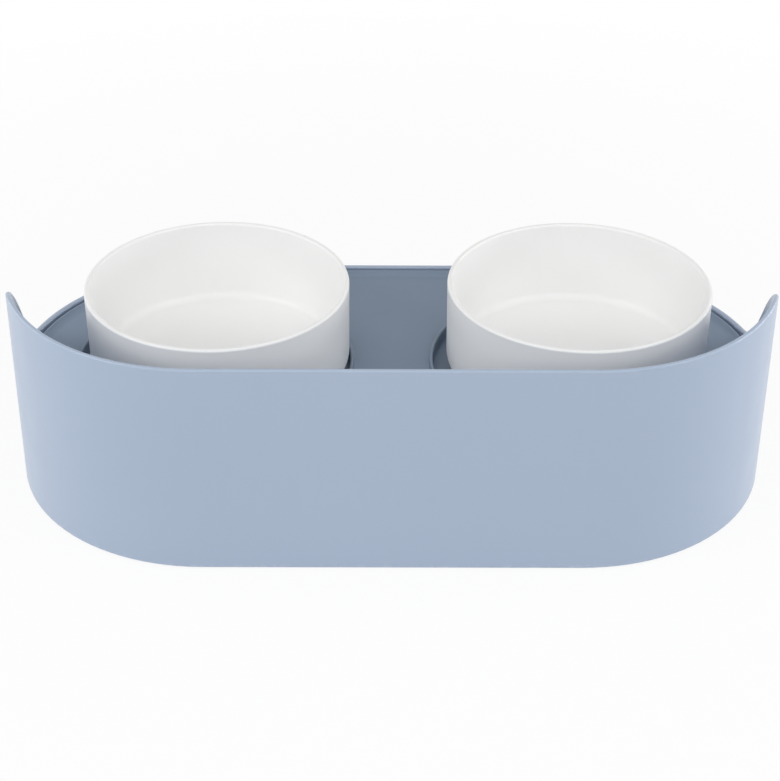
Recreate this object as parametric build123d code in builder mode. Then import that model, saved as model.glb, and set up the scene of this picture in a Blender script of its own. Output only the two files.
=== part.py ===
from build123d import *
import os
from math import cos, radians, sin, tan

# Double pet bowl: a moulded stand with a tall splash guard on one long side, a drop-in
# drip tray with two wells, and two loose ceramic bowls that stand in the wells.
# Millimetres, +Z up, +X along the stand. The origin is on the ground under the middle
# of the stand, and the guard is on the -Y side.

# Stand shell: a stadium in plan, drawn in by the draft of its mould
stand_length = 395.8
stand_depth = 207.5
guard_height = 115.8
lip_height = 59.2
skirt_wall = 3.2
guard_edge = 2.4
draft_angle = 0.6
rim_round = 1.1
hem_round = 0.8
ground_gap = 0.8

# Swoop: the drop of the guard's top edge to the low lip at both ends
swoop_middle = 4.7
swoop_angle = 59.0
swoop_top_bend = 57.0
swoop_low_bend = 20.0
swoop_bend_share = 0.95

# Ledge inside the shell that carries the tray, with gussets under it
ledge_width = 15.0
ledge_thickness = 2.6
ledge_fillet = 2.0
gusset_thickness = 2.0
gusset_drop = 20.0
gusset_end_angles = (-30, 0, 30)
gusset_side_shares = (-0.6, 0, 0.6)

# Drip tray, with a rim that slopes up to a thin edge and a groove round it
tray_below_lip = 3.2
tray_wall = 2.4
tray_gap = 1.9
tray_rim_height = 2.4
tray_rim_edge = 1.0
tray_rim_round = 0.45
tray_rim_slope = 45.0
tray_cove = 4.0
tray_rib_thickness = 1.8
tray_rib_drop = 5.0
tray_rib_pitch_share = 0.6
tray_rib_end_gap = 1.5

# Wells for the bowls, with a bead round each mouth
well_radius = 71.5
well_depth = 5.2
well_fillet = 2.0
well_middle_share = 0.49
cup_fillet_share = 0.9
bead_wall = 1.8
bead_height = 3.2
bead_round = 0.8
bead_cove = 1.0

# Bowl
bowl_rim_radius = 68.0
bowl_height = 54.4
bowl_taper_angle = 0.4
bowl_rim_wall = 2.8
bowl_floor_wall = 6.7
bowl_inner_taper_angle = 2.4
bowl_outer_bend = 12.0
bowl_inner_bend = 4.6
bowl_rim_round = 1.2
foot_ring_radius = 52.0
foot_ring_width = 5.0
foot_ring_height = 3.0
foot_ring_round = 1.0
bowl_left_shift = 3.2
bowl_right_shift = 3.2

# Push-in rubber feet and the bosses that hold them
foot_angle = 55.0
boss_radius = 6.5
boss_wall_gap = 1.5
boss_web = 2.4
pad_radius = 7.0
pad_height = 3.0
pad_round = 0.8
stem_radius = 3.0
stem_length = 8.0
stem_gap = 0.1
stem_end_chamfer = 0.8

# Play past a face that a cut has to clear, and how near a height an edge counts as at it
overrun = 2.0
level_play = 0.01


def outside(size, height):
    """A plan size of the shell's outside at a height, drawn in by the draft."""
    return size - 2 * (height - ground_gap) * tan(radians(draft_angle))


def beside_wall(start, angle, reach):
    """Plan point at a reach from the stand's centre line, along a direction square to the wall."""
    return start + reach * cos(radians(angle)), reach * sin(radians(angle))


def upright_plane(start, angle):
    """Upright plane square to the wall: local X points out to the wall, local Y points up."""
    out = (cos(radians(angle)), sin(radians(angle)), 0)
    side = (sin(radians(angle)), -cos(radians(angle)), 0)
    return Plane(origin=(start, 0, 0), x_dir=out, z_dir=side)


def level_edges(piece, height):
    """Edges of a piece that lie level at a height."""
    return piece.edges().filter_by_position(Axis.Z, height - level_play, height + level_play)


# Plan sizes and levels that several pieces share
opening_length = outside(stand_length, guard_height) - 2 * guard_edge
opening_depth = outside(stand_depth, guard_height) - 2 * guard_edge
arc_centre = (stand_length - stand_depth) / 2
tray_height = lip_height - tray_below_lip
well_floor_height = tray_height - well_depth
ledge_top = tray_height - tray_wall
ledge_bottom = ledge_top - ledge_thickness
skirt_inside = outside(stand_depth, ledge_bottom) / 2 - skirt_wall
tray_length = opening_length - 2 * tray_gap
tray_depth = opening_depth - 2 * tray_gap
boss_reach = skirt_inside - boss_wall_gap - boss_radius

# Wells along the tray: a share of the flat floor's spare length lies between them
slope_run = tray_rim_height / tan(radians(tray_rim_slope))
cove_run = tray_cove * tan(radians(tray_rim_slope / 2))
floor_length = tray_length - 2 * (tray_rim_edge + slope_run + cove_run)
bead_reach = well_radius + bead_wall
well_pitch = 2 * bead_reach + well_middle_share * (floor_length - 4 * bead_reach)

# Feet: the arc centre that each one is measured from, and its direction from there
foot_places = {
    "foot_guard_left": (-arc_centre, 180 + foot_angle),
    "foot_guard_right": (arc_centre, -foot_angle),
    "foot_low_left": (-arc_centre, 180 - foot_angle),
    "foot_low_right": (arc_centre, foot_angle),
}

os.makedirs("parts", exist_ok=True)

# Stand shell
with BuildPart() as stand_shell:
    # Drafted block, taller than the guard so that one cut shapes its whole top edge
    with BuildSketch(Plane.XY.offset(ground_gap)):
        SlotOverall(stand_length, stand_depth)
    extrude(amount=guard_height + overrun - ground_gap, taper=draft_angle)

    # Hollow under the ledge, open at the ground, with the same draft as the outside
    with BuildSketch(Plane.XY.offset(ground_gap)):
        SlotOverall(stand_length - 2 * skirt_wall, stand_depth - 2 * skirt_wall)
    extrude(amount=ledge_bottom - ground_gap, taper=draft_angle, mode=Mode.SUBTRACT)
    fillet(level_edges(stand_shell, ledge_bottom), radius=ledge_fillet)

    # Space above the ledge, where the tray drops in
    with BuildSketch(Plane.XY.offset(ledge_top)):
        SlotOverall(opening_length, opening_depth)
    extrude(amount=guard_height + 2 * overrun - ledge_top, mode=Mode.SUBTRACT)

    # Guard's top edge, seen from the end: level, then a swoop down to the low lip.
    # The slope has room for both bends, and a lower guard draws them in
    swoop_half_run = (guard_height - lip_height) / 2 / tan(radians(swoop_angle))
    bend_room = (guard_height - lip_height) / (1 - cos(radians(swoop_angle)))
    bend_scale = min(1, swoop_bend_share * bend_room / (swoop_top_bend + swoop_low_bend))
    with BuildSketch(Plane.YZ):
        with BuildLine():
            edge_line = FilletPolyline(
                (-stand_depth, guard_height),
                (swoop_middle - swoop_half_run, guard_height),
                (swoop_middle + swoop_half_run, lip_height),
                (stand_depth, lip_height),
                radius=[bend_scale * swoop_top_bend, bend_scale * swoop_low_bend],
            )
            Polyline(
                edge_line @ 1,
                (stand_depth, guard_height + 2 * overrun),
                (-stand_depth, guard_height + 2 * overrun),
                edge_line @ 0,
            )
        make_face()
    extrude(amount=stand_length, both=True, mode=Mode.SUBTRACT)

    # Rounded top edge all the way round, and a softer hem at the ground
    top_edges = stand_shell.edges().filter_by(lambda edge: edge.bounding_box().min.Z > ledge_top + overrun)
    fillet(top_edges.filter_by(lambda edge: edge.length > 2 * skirt_wall), radius=rim_round)
    fillet(level_edges(stand_shell, ground_gap), radius=hem_round)

    # Opening in the ledge for the wells
    with BuildSketch(Plane.XY.offset(ledge_bottom)):
        SlotOverall(opening_length - 2 * ledge_width, opening_depth - 2 * ledge_width)
    extrude(amount=ledge_thickness, mode=Mode.SUBTRACT)

    # Gussets under the ledge, square to the wall
    side_stations = [(share * arc_centre, angle) for share in gusset_side_shares for angle in (-90, 90)]
    right_stations = [(arc_centre, angle) for angle in gusset_end_angles]
    left_stations = [(-arc_centre, 180 - angle) for angle in gusset_end_angles]
    gusset_root = skirt_inside + skirt_wall / 2
    gusset_tip = skirt_inside - ledge_width + gusset_thickness
    for station in side_stations + right_stations + left_stations:
        with BuildSketch(upright_plane(*station)):
            with BuildLine():
                Polyline(
                    (gusset_tip, ledge_bottom),
                    (gusset_root, ledge_bottom),
                    (gusset_root, ledge_bottom - gusset_drop),
                    close=True,
                )
            make_face()
        extrude(amount=gusset_thickness / 2, both=True)

    # Bosses for the feet, each held to the wall by a web
    for start, angle in foot_places.values():
        with BuildSketch(Plane.XY.offset(pad_height)):
            with Locations(beside_wall(start, angle, boss_reach)):
                Circle(boss_radius)
        extrude(amount=ledge_bottom - pad_height)
        with BuildSketch(upright_plane(start, angle)):
            with BuildLine():
                Polyline(
                    (boss_reach, pad_height),
                    (gusset_root, pad_height),
                    (gusset_root, ledge_bottom),
                    (boss_reach, ledge_bottom),
                    close=True,
                )
            make_face()
        extrude(amount=boss_web / 2, both=True)
    for start, angle in foot_places.values():
        with BuildSketch(Plane.XY.offset(pad_height)):
            with Locations(beside_wall(start, angle, boss_reach)):
                Circle(stem_radius + stem_gap)
        extrude(amount=stem_length + stem_gap, mode=Mode.SUBTRACT)

stand_shell.part.label = "stand_shell"
export_step(stand_shell.part, "parts/stand_shell.step")

# Drip tray
well_places = [(-well_pitch / 2, 0), (well_pitch / 2, 0)]
bead_top = tray_height + bead_height
with BuildPart() as drip_tray:
    # Plate on the ledge, dished inside its sloped rim
    with BuildSketch(Plane.XY.offset(ledge_top)):
        SlotOverall(tray_length, tray_depth)
    extrude(amount=tray_wall + tray_rim_height)
    rim_inset = tray_rim_edge + slope_run
    with BuildSketch(Plane.XY.offset(tray_height)):
        SlotOverall(tray_length - 2 * rim_inset, tray_depth - 2 * rim_inset)
    extrude(amount=tray_rim_height, taper=tray_rim_slope - 90, mode=Mode.SUBTRACT)
    fillet(level_edges(drip_tray, tray_height), radius=tray_cove)
    fillet(drip_tray.edges().group_by(Axis.Z)[-1], radius=tray_rim_round)

    # Wells hanging under the plate, and the bead round each mouth
    with BuildSketch(Plane.XY.offset(well_floor_height - tray_wall)):
        with Locations(*well_places):
            Circle(well_radius + tray_wall)
    extrude(amount=well_depth + tray_wall)
    cup_fillet = min(well_fillet + tray_wall, cup_fillet_share * well_depth)
    fillet(drip_tray.edges().group_by(Axis.Z)[0], radius=cup_fillet)
    with BuildSketch(Plane.XY.offset(tray_height)):
        with Locations(*well_places):
            Circle(bead_reach)
    extrude(amount=bead_height)
    with BuildSketch(Plane.XY.offset(well_floor_height)):
        with Locations(*well_places):
            Circle(well_radius)
    extrude(amount=bead_top - well_floor_height, mode=Mode.SUBTRACT)
    fillet(level_edges(drip_tray, well_floor_height).filter_by(GeomType.CIRCLE), radius=well_fillet)
    fillet(level_edges(drip_tray, bead_top).filter_by(GeomType.CIRCLE), radius=bead_round)
    root_edges = level_edges(drip_tray, tray_height).filter_by(GeomType.CIRCLE)
    fillet(root_edges.filter_by(lambda edge: edge.radius < bead_reach + level_play), radius=bead_cove)

    # Two ribs across the underside, between the wells
    tray_rib_pitch = tray_rib_pitch_share * (well_pitch - 2 * (well_radius + tray_wall))
    tray_rib_length = opening_depth - 2 * ledge_width - 2 * tray_rib_end_gap
    with BuildSketch(Plane.XY.offset(ledge_top - tray_rib_drop)):
        with GridLocations(tray_rib_pitch, 0, 2, 1):
            Rectangle(tray_rib_thickness, tray_rib_length)
    extrude(amount=tray_rib_drop)

drip_tray.part.label = "drip_tray"
export_step(drip_tray.part, "parts/drip_tray.step")


def make_bowl(centre):
    """Ceramic bowl turned about its own axis, standing on the floor of a well."""
    base_radius = bowl_rim_radius - bowl_height * tan(radians(bowl_taper_angle))
    inside_rim = bowl_rim_radius - bowl_rim_wall
    floor_level = foot_ring_height + bowl_floor_wall
    inside_base = inside_rim - (bowl_height - floor_level) * tan(radians(bowl_inner_taper_angle))
    with BuildPart() as bowl:
        with BuildSketch(Plane(origin=(centre, 0, well_floor_height), x_dir=(1, 0, 0), z_dir=(0, -1, 0))):
            with BuildLine():
                profile = FilletPolyline(
                    (0, foot_ring_height),
                    (foot_ring_radius - foot_ring_width, foot_ring_height),
                    (foot_ring_radius - foot_ring_width, 0),
                    (foot_ring_radius, 0),
                    (foot_ring_radius, foot_ring_height),
                    (base_radius, foot_ring_height),
                    (bowl_rim_radius, bowl_height),
                    (inside_rim, bowl_height),
                    (inside_base, floor_level),
                    (0, floor_level),
                    radius=[
                        foot_ring_round,
                        foot_ring_round,
                        foot_ring_round,
                        foot_ring_round,
                        bowl_outer_bend,
                        bowl_rim_round,
                        bowl_rim_round,
                        bowl_inner_bend,
                    ],
                )
                Line(profile @ 1, profile @ 0)
            make_face()
        revolve(axis=Axis((centre, 0, 0), (0, 0, 1)))
    return bowl.part


def make_foot(start, angle):
    """Rubber foot: a pad on the ground with a stem pushed up into its boss."""
    x, y = beside_wall(start, angle, boss_reach)
    with BuildPart() as foot:
        with BuildSketch(Plane(origin=(x, y, 0), x_dir=(1, 0, 0), z_dir=(0, -1, 0))):
            with BuildLine():
                Polyline(
                    (0, 0),
                    (pad_radius, 0),
                    (pad_radius, pad_height),
                    (stem_radius, pad_height),
                    (stem_radius, pad_height + stem_length),
                    (0, pad_height + stem_length),
                    close=True,
                )
            make_face()
        revolve(axis=Axis((x, y, 0), (0, 0, 1)))
        fillet(foot.edges().group_by(Axis.Z)[0], radius=pad_round)
        chamfer(foot.edges().group_by(Axis.Z)[-1], length=stem_end_chamfer)
    return foot.part


# Bowls, each a little off the middle of its well
bowl_centres = {
    "bowl_left": -well_pitch / 2 + bowl_left_shift,
    "bowl_right": well_pitch / 2 + bowl_right_shift,
}
for name, centre in bowl_centres.items():
    bowl_part = make_bowl(centre)
    bowl_part.label = name
    export_step(bowl_part, f"parts/{name}.step")

# Feet
for name, place in foot_places.items():
    foot_part = make_foot(*place)
    foot_part.label = name
    export_step(foot_part, f"parts/{name}.step")
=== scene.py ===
from math import hypot, radians
import bpy
from mathutils import Euler, Matrix, Vector


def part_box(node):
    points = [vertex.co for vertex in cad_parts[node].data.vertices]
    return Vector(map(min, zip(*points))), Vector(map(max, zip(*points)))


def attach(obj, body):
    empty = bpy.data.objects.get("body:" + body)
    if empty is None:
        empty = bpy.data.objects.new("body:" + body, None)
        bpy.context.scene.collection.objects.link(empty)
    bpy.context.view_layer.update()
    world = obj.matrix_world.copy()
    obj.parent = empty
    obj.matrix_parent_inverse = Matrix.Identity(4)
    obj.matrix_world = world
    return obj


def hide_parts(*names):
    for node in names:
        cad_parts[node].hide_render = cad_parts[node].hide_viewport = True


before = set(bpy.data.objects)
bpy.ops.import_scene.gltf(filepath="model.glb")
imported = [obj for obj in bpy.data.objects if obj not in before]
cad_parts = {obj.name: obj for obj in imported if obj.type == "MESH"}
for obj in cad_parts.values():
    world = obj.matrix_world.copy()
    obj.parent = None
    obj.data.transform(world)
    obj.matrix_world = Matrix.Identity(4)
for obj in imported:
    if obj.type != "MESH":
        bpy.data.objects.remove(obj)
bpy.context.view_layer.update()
bpy.ops.object.select_all(action="DESELECT")
scene = bpy.context.scene
scene.view_settings.view_transform = "Standard"


# Feet
# Four soft rubber feet, compression moulded, each with a stem pushed up into a boss of the stand.
# Two raised rings grip the floor, with a groove between them and a shallow cup in the middle.
def pick_faces(piece, test):
    """In edit mode, selects the faces whose middles pass a test, and nothing else."""
    bpy.ops.mesh.select_all(action="DESELECT")
    bpy.ops.object.mode_set(mode="OBJECT")
    for face in piece.data.polygons:
        face.select = test(face.center)
    bpy.ops.object.mode_set(mode="EDIT")


def pick_edges(piece, test):
    """In edit mode, selects the edges whose two ends pass a test, and nothing else."""
    bpy.ops.mesh.select_all(action="DESELECT")
    bpy.ops.object.mode_set(mode="OBJECT")
    points = piece.data.vertices
    for edge in piece.data.edges:
        edge.select = all(test(points[end].co) for end in edge.vertices)
    bpy.ops.object.mode_set(mode="EDIT")


def new_material(name):
    """A material with its node tree and its shader, ready for a finish."""
    material = bpy.data.materials.new(name)
    material.use_nodes = True
    shader = material.node_tree.nodes["Principled BSDF"]
    return material, material.node_tree, shader


def noise(tree, size, detail):
    """Noise in the piece's own space, with features about as large as the size, in metres."""
    place = tree.nodes.new("ShaderNodeTexCoord")
    texture = tree.nodes.new("ShaderNodeTexNoise")
    texture.inputs["Scale"].default_value = 1 / size
    texture.inputs["Detail"].default_value = detail
    tree.links.new(place.outputs["Object"], texture.inputs["Vector"])
    return texture.outputs["Fac"]


def stretch(tree, value, low, high, at_low, at_high):
    """A value carried over from one range to another, and held at the ends."""
    node = tree.nodes.new("ShaderNodeMapRange")
    for socket, number in (("From Min", low), ("From Max", high), ("To Min", at_low), ("To Max", at_high)):
        node.inputs[socket].default_value = number
    tree.links.new(value, node.inputs["Value"])
    return node.outputs["Result"]


def blend(tree, value, first, second):
    """A colour that goes from the first to the second with a value. Each is a colour or a socket."""
    mix = tree.nodes.new("ShaderNodeMix")
    mix.data_type = "RGBA"
    colour_sockets = [socket for socket in mix.inputs if socket.type == "RGBA"]
    for socket, colour in zip(colour_sockets, (first, second)):
        if isinstance(colour, tuple):
            socket.default_value = (*colour, 1)
        else:
            tree.links.new(colour, socket)
    tree.links.new(value, mix.inputs["Factor"])
    return next(socket for socket in mix.outputs if socket.type == "RGBA")


def relief(tree, shader, value, height):
    """A fine relief on the surface, as high as the height, in metres."""
    bump = tree.nodes.new("ShaderNodeBump")
    bump.inputs["Strength"].default_value = 1
    bump.inputs["Distance"].default_value = height
    tree.links.new(value, bump.inputs["Height"])
    tree.links.new(bump.outputs["Normal"], shader.inputs["Normal"])


foot_nodes = [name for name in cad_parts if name.startswith("foot_")]
foot_low, foot_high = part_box(foot_nodes[0])
foot_axis = (foot_low + foot_high) / 2
pad_radius = (foot_high.x - foot_low.x) / 2
pad_height = 0.003
pad_round = 0.0008
stem_radius = 0.003
stem_height = foot_high.z - foot_low.z - pad_height
stem_chamfer = 0.0008
outer_ring = 0.0024
groove_width = 0.001
groove_depth = 0.0005
inner_ring = 0.001
groove_outside = pad_radius - outer_ring
groove_inside = groove_outside - groove_width
cup_radius = groove_inside - inner_ring
round_sides = 64
round_steps = 5
smooth_below = radians(32)


def off_axis(point):
    """How far a point of the foot lies from its axis."""
    return hypot(point.x - foot_axis.x, point.y - foot_axis.y)


def is_sole(middle):
    """Whether a face belongs to the sole, by its middle."""
    return middle.z < foot_low.z + groove_depth


def is_pressed_in(middle):
    """Whether a face of the sole is the floor of the groove or of the cup."""
    in_the_cup = off_axis(middle) < cup_radius / 2
    in_the_groove = groove_inside < off_axis(middle) < groove_outside
    return is_sole(middle) and (in_the_cup or in_the_groove)


def is_sole_rim(end):
    """Whether an edge runs round the sole, by one of its ends."""
    return end.z < foot_low.z + groove_depth / 2 and off_axis(end) > pad_radius - pad_round


def is_stem_top(end):
    """Whether an edge runs round the top of the stem, by one of its ends."""
    return end.z > foot_high.z - stem_chamfer


bpy.ops.mesh.primitive_circle_add(
    vertices=round_sides,
    radius=pad_radius,
    fill_type="NGON",
    location=(foot_axis.x, foot_axis.y, foot_low.z),
)
foot = bpy.context.object
bpy.ops.object.transform_apply(location=True, rotation=True, scale=True)
bpy.ops.object.mode_set(mode="EDIT")
bpy.ops.mesh.select_mode(type="FACE")
bpy.ops.mesh.select_all(action="SELECT")
bpy.ops.mesh.extrude_region_move(TRANSFORM_OT_translate={"value": (0, 0, pad_height)})
bpy.ops.mesh.inset(thickness=pad_radius - stem_radius)
bpy.ops.mesh.extrude_region_move(TRANSFORM_OT_translate={"value": (0, 0, stem_height)})

# Insets split the sole into rings, and the groove and the cup are pressed in
pick_faces(foot, is_sole)
for ring_width in (outer_ring, groove_width, inner_ring):
    bpy.ops.mesh.inset(thickness=ring_width)
pick_faces(foot, is_pressed_in)
bpy.ops.mesh.extrude_region_move(TRANSFORM_OT_translate={"value": (0, 0, groove_depth)})
bpy.ops.mesh.select_mode(type="EDGE")
pick_edges(foot, is_sole_rim)
bpy.ops.mesh.bevel(offset=pad_round, segments=round_steps)
pick_edges(foot, is_stem_top)
bpy.ops.mesh.bevel(offset=stem_chamfer, segments=1)
bpy.ops.mesh.select_all(action="SELECT")
bpy.ops.mesh.normals_make_consistent(inside=False)
bpy.ops.object.mode_set(mode="OBJECT")
bpy.ops.object.shade_smooth_by_angle(angle=smooth_below)

# The noise lies mostly between these two values
noise_low = 0.3
noise_high = 0.7
rubber_dark = (0.045, 0.047, 0.05)
rubber_faded = (0.07, 0.072, 0.076)
rubber_roughness = (0.72, 0.86)
faded_patch = 0.004
rubber_grain = 0.0005
rubber_grain_height = 0.00004
rubber, rubber_tree, rubber_shader = new_material("foot_rubber")
faded = noise(rubber_tree, faded_patch, detail=3)
rubber_tint = blend(rubber_tree, faded, rubber_dark, rubber_faded)
rubber_gloss = stretch(rubber_tree, faded, noise_low, noise_high, *rubber_roughness)
rubber_tree.links.new(rubber_tint, rubber_shader.inputs["Base Color"])
rubber_tree.links.new(rubber_gloss, rubber_shader.inputs["Roughness"])
relief(rubber_tree, rubber_shader, noise(rubber_tree, rubber_grain, detail=2), rubber_grain_height)
foot.data.materials.append(rubber)

feet = [foot]
for node in foot_nodes[1:]:
    low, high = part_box(node)
    twin = foot.copy()
    twin.data = foot.data.copy()
    twin.data.transform(Matrix.Translation((low + high) / 2 - foot_axis))
    scene.collection.objects.link(twin)
    feet.append(twin)

for node, piece in zip(foot_nodes, feet):
    piece.name = node + "_rubber"
    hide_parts(node)
    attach(piece, "stand")


# Stand shell
# One injection moulding in satin grey-blue plastic, with the splash guard, the skirt and the ledge.
# The moulded solid shows, with the fine spark-eroded grain of its mould and a hem rubbed by the floor.
def satin_plastic(name, pale, deep, roughness, specular):
    """Satin moulded plastic with a fine grain and a slight drift of colour and gloss."""
    colour_drift = 0.09
    gloss_drift = 0.025
    mould_grain = 0.0006
    mould_grain_height = 0.000012
    material, tree, shader = new_material(name)
    tint = blend(tree, noise(tree, colour_drift, detail=2), pale, deep)
    gloss = stretch(tree, noise(tree, gloss_drift, detail=4), noise_low, noise_high, *roughness)
    tree.links.new(tint, shader.inputs["Base Color"])
    tree.links.new(gloss, shader.inputs["Roughness"])
    shader.inputs["Specular IOR Level"].default_value = specular
    relief(tree, shader, noise(tree, mould_grain, detail=3), mould_grain_height)
    return material


def height_of(tree):
    """The height in the piece's own space, which is the height above the ground at rest."""
    place = tree.nodes.new("ShaderNodeTexCoord")
    split = tree.nodes.new("ShaderNodeSeparateXYZ")
    tree.links.new(place.outputs["Object"], split.inputs["Vector"])
    return split.outputs["Z"]


def product(tree, first, second):
    """Two values multiplied."""
    node = tree.nodes.new("ShaderNodeMath")
    node.operation = "MULTIPLY"
    tree.links.new(first, node.inputs[0])
    tree.links.new(second, node.inputs[1])
    return node.outputs["Value"]


shell_pale = (0.367, 0.447, 0.578)
shell_deep = (0.354, 0.434, 0.565)
shell_roughness = (0.28, 0.36)
shell_specular = 0.8
hem_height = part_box("stand_shell")[0].z
rubbed_colour = (0.5, 0.56, 0.66)
rubbed_band = 0.003
rubbed_share = 0.5
scuff_size = 0.0025
scuff_start = 0.5
scuff_full = 0.62

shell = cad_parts["stand_shell"]
shell_finish = satin_plastic("stand_plastic", shell_pale, shell_deep, shell_roughness, shell_specular)
shell_tree = shell_finish.node_tree
shell_colour_socket = shell_tree.nodes["Principled BSDF"].inputs["Base Color"]
shell_tint = shell_colour_socket.links[0].from_socket
near_hem = stretch(shell_tree, height_of(shell_tree), hem_height, hem_height + rubbed_band, rubbed_share, 0)
scuffs = stretch(shell_tree, noise(shell_tree, scuff_size, detail=5), scuff_start, scuff_full, 0, 1)
rubbed = blend(shell_tree, product(shell_tree, near_hem, scuffs), shell_tint, rubbed_colour)
shell_tree.links.new(rubbed, shell_colour_socket)
shell.data.materials.clear()
shell.data.materials.append(shell_finish)

# Drip tray
# A separate moulding of the same plastic that drops in on the ledge, with a well for each bowl.
# The moulded solid shows. Its mould was blasted duller, so that spilled food wipes off.
# Its colours are the stand's plastic painted darker: painted shade for the shade that the guard and the bowls
# cast into the tray.
shaded_tray_pale = (0.235, 0.3, 0.392)
shaded_tray_deep = (0.2255, 0.288, 0.377)
tray_roughness = (0.46, 0.54)
tray_specular = 0.3
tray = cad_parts["drip_tray"]
tray.data.materials.clear()
tray.data.materials.append(satin_plastic("tray_plastic", shaded_tray_pale, shaded_tray_deep, tray_roughness, tray_specular))

# Bowls
# Two slip-cast ceramic bowls under a satin white glaze, standing loose in the wells.
# The glaze is thin over the rim and wiped off the sole of the foot ring, where the fired clay shows.
bowl_low, bowl_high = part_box("bowl_left")
glaze_white = (0.93, 0.93, 0.926)
glaze_soft = (0.92, 0.92, 0.914)
glaze_cloud = 0.05
glaze_wave = 0.012
glaze_wave_height = 0.00003
thin_glaze = (0.87, 0.855, 0.83)
thin_band = 0.0012
thin_share = 0.12
clay_pale = (0.66, 0.58, 0.48)
clay_dark = (0.56, 0.48, 0.39)
clay_grain = 0.0012
wiped_height = 0.0011
bare_height = 0.00088

# Roughness, written as greys
smooth_glaze = (0.3, 0.3, 0.3)
satin_glaze = (0.38, 0.38, 0.38)
rough_clay = (0.85, 0.85, 0.85)

glaze, glaze_tree, glaze_shader = new_material("white_glaze")
cloud = noise(glaze_tree, glaze_cloud, detail=2)
bowl_height = height_of(glaze_tree)
glaze_tint = blend(glaze_tree, cloud, glaze_white, glaze_soft)
thin = stretch(glaze_tree, bowl_height, bowl_high.z - thin_band, bowl_high.z, 0, thin_share)
rim_tint = blend(glaze_tree, thin, glaze_tint, thin_glaze)
wiped = stretch(glaze_tree, bowl_height, bowl_low.z + wiped_height, bowl_low.z + bare_height, 0, 1)
clay = blend(glaze_tree, noise(glaze_tree, clay_grain, detail=4), clay_pale, clay_dark)
glaze_tree.links.new(blend(glaze_tree, wiped, rim_tint, clay), glaze_shader.inputs["Base Color"])
clouded = stretch(glaze_tree, cloud, noise_low, noise_high, 0, 1)
glaze_gloss = blend(glaze_tree, clouded, smooth_glaze, satin_glaze)
glaze_tree.links.new(blend(glaze_tree, wiped, glaze_gloss, rough_clay), glaze_shader.inputs["Roughness"])
relief(glaze_tree, glaze_shader, noise(glaze_tree, glaze_wave, detail=2), glaze_wave_height)
for name in ("bowl_left", "bowl_right"):
    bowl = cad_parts[name]
    bowl.data.materials.clear()
    bowl.data.materials.append(glaze)


# Studio
# A pale floor that keeps the shadow near the object and runs out of sight in a white room,
# three softboxes in an arc before the object and one above it, and at each end of the stand a strip
# in front of it and a low panel behind it.
def seen_directly(tree):
    """1 for what the camera sees, straight or in a mirror or through glass, and 0 for light on the object."""
    path = tree.nodes.new("ShaderNodeLightPath")
    value = path.outputs["Is Camera Ray"]
    for name in ("Is Glossy Ray", "Is Transmission Ray"):
        either = tree.nodes.new("ShaderNodeMath")
        either.operation = "MAXIMUM"
        tree.links.new(value, either.inputs[0])
        tree.links.new(path.outputs[name], either.inputs[1])
        value = either.outputs["Value"]
    return value


white = (1, 1, 1, 1)
floor_size = 40
floor_colour = (0.95, 0.95, 0.95, 1)
floor_roughness = 0.9
shadow_reach = 0.3
white_reach = 0.7
near_glow = 0.88
bpy.ops.mesh.primitive_plane_add(size=floor_size, location=(0, 0, 0))
floor = bpy.context.object
floor.name = "floor"
paint, paint_tree, paint_shader = new_material("floor_paint")
paint_shader.inputs["Base Color"].default_value = floor_colour
paint_shader.inputs["Roughness"].default_value = floor_roughness
glow = paint_tree.nodes.new("ShaderNodeEmission")
glow.inputs["Color"].default_value = white
glow.inputs["Strength"].default_value = 1
join = paint_tree.nodes.new("ShaderNodeMixShader")
floor_place = paint_tree.nodes.new("ShaderNodeTexCoord")
distance = paint_tree.nodes.new("ShaderNodeVectorMath")
distance.operation = "LENGTH"
paint_tree.links.new(floor_place.outputs["Object"], distance.inputs[0])
glow_share = stretch(paint_tree, distance.outputs["Value"], shadow_reach, white_reach, near_glow, 1)
paint_tree.links.new(product(paint_tree, seen_directly(paint_tree), glow_share), join.inputs["Fac"])
paint_tree.links.new(paint_shader.outputs["BSDF"], join.inputs[1])
paint_tree.links.new(glow.outputs["Emission"], join.inputs[2])
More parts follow.
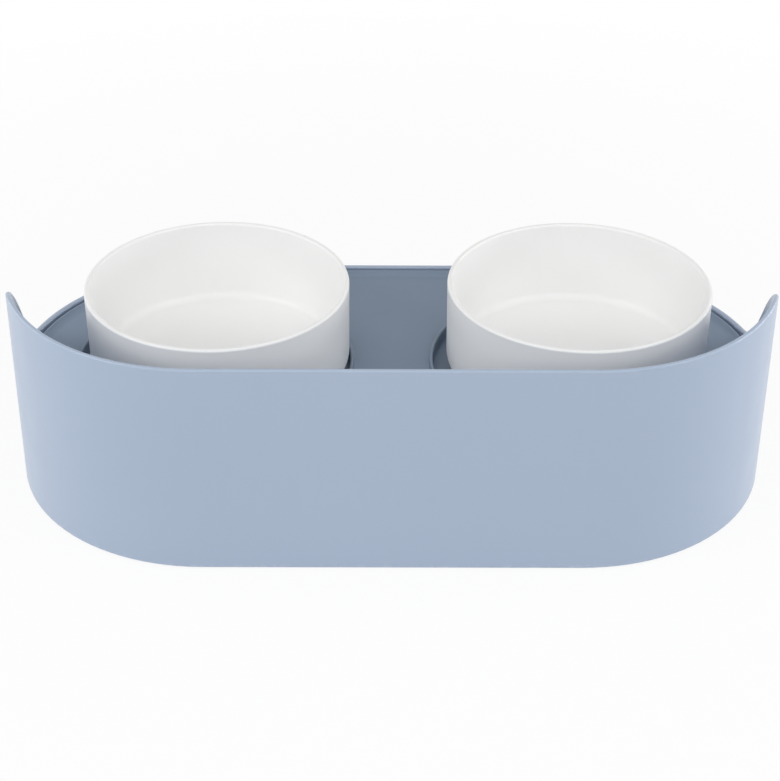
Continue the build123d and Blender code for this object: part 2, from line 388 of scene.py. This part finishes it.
paint_tree.links.new(join.outputs["Shader"], paint_tree.nodes["Material Output"].inputs["Surface"])
floor.data.materials.append(paint)

room_light = 0.35
room = bpy.data.worlds.new("white_room")
scene.world = room
room.use_nodes = True
room_tree = room.node_tree
background = room_tree.nodes["Background"]
background.inputs["Color"].default_value = white
room_strength = stretch(room_tree, seen_directly(room_tree), 0, 1, room_light, 1)
room_tree.links.new(room_strength, background.inputs["Strength"])

lamp_aim = Vector((0, 0, 0.06))
for name, place, width, height, power in (
    ("left_softbox", Vector((-1.2, -0.7, 1.0)), 1.0, 0.6, 4.2),
    ("front_softbox", Vector((0, -1.6, 1.1)), 1.6, 0.6, 7.9),
    ("right_softbox", Vector((1.2, -0.7, 1.0)), 1.0, 0.6, 3.4),
    ("top_softbox", Vector((0, 0, 1.6)), 1.6, 1.0, 3.7),
    ("left_strip", Vector((-1.2, -0.5, 0.6)), 0.8, 0.3, 2.4),
    ("right_strip", Vector((1.2, -0.5, 0.6)), 0.8, 0.3, 1.8),
    ("left_panel", Vector((-1.3, 0.35, 0.2)), 1.0, 0.4, 3),
    ("right_panel", Vector((1.3, 0.35, 0.2)), 1.0, 0.4, 5.3),
):
    bpy.ops.object.light_add(type="AREA", location=place)
    lamp = bpy.context.object
    lamp.name = name
    lamp.data.shape = "RECTANGLE"
    lamp.data.size = width
    lamp.data.size_y = height
    lamp.data.energy = power
    lamp.rotation_euler = (lamp_aim - place).to_track_quat("-Z", "Y").to_euler()

# Camera
# It stands in front of the guard and looks down on the bowls, as in the photograph.
camera_place = Vector((-0.004966, -0.788591, 0.546604))
camera_tilt = radians(57.2342)
camera_turn = radians(-0.301)
camera_roll = radians(0.3203)
camera_lens = 80.78
camera = bpy.data.objects.new("camera", bpy.data.cameras.new("camera"))
scene.collection.objects.link(camera)
camera.matrix_world = (
    Matrix.Translation(camera_place)
    @ Euler((camera_tilt, 0, camera_turn)).to_matrix().to_4x4()
    @ Matrix.Rotation(camera_roll, 4, "Z")
)
camera.data.lens = camera_lens
scene.camera = camera
